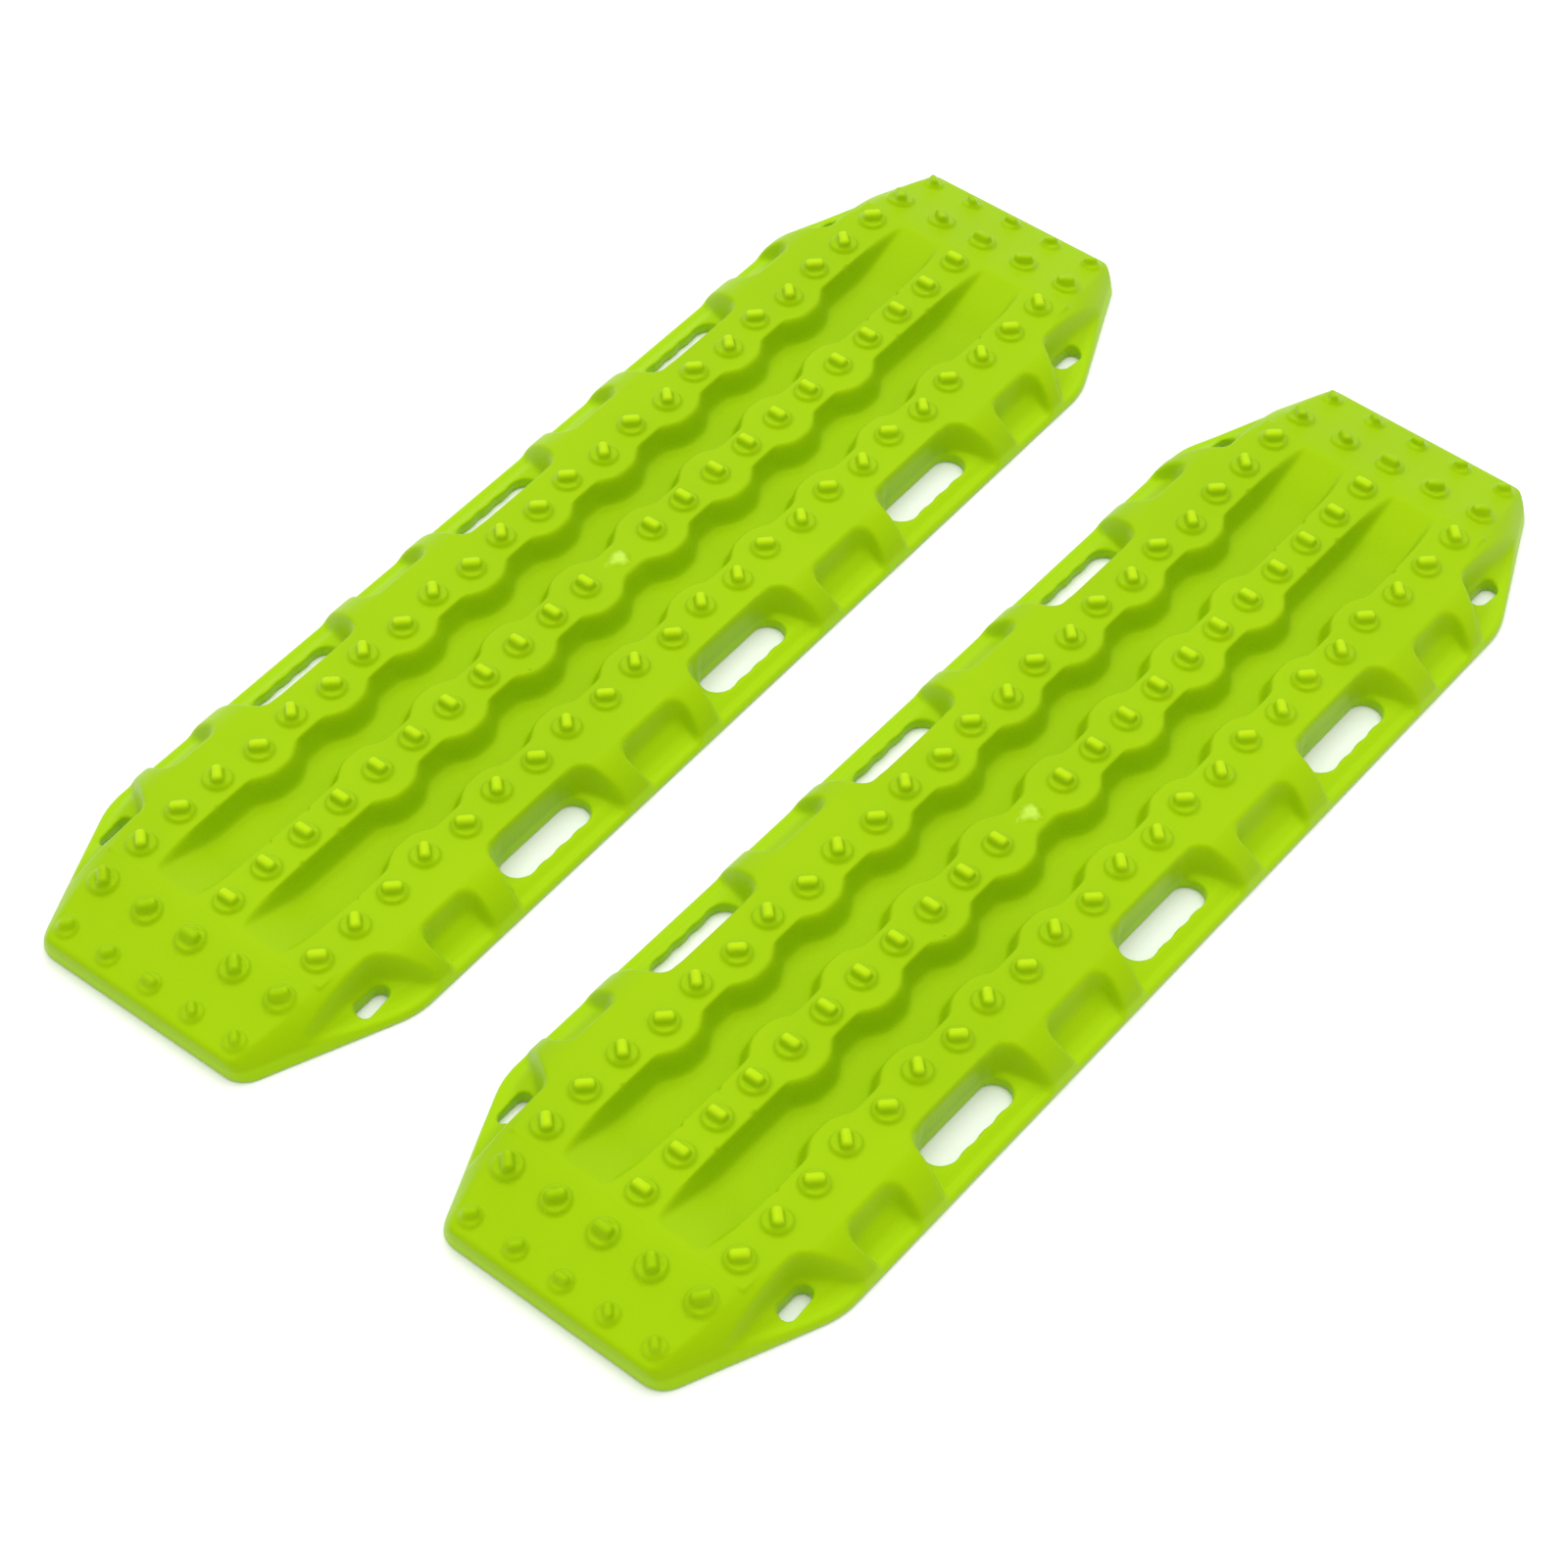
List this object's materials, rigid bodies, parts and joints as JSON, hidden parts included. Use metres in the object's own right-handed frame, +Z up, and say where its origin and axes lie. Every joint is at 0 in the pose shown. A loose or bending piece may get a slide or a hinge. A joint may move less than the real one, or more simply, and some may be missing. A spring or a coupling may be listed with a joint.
{
  "type": "scale model traction boards",
  "caption": "Lime green moulded traction boards for a small-scale vehicle, with studded ridges, wavy grooves, side finger slots and corner rope holes.",
  "frame": {"origin": "centre of the pair's bounding box, on the surface that both undersides rest on", "axes": "+X along the rear board, +Y from the front board towards the rear board, +Z up out of the studded faces"},
  "size_m": [0.1158, 0.076, 0.0051],
  "materials": {
    "board_plastic": "semi-matte moulded plastic with a fine grain"
  },
  "bodies": {
    "rear_board": {"rear_board": "board_plastic"},
    "front_board": {"front_board": "board_plastic"}
  },
  "joints": [
    {"name": "front_board_lift", "type": "slide", "parent": "rear_board", "child": "front_board", "axis": [0, 0, 1], "range_m": [0, 0.06]}
  ]
}
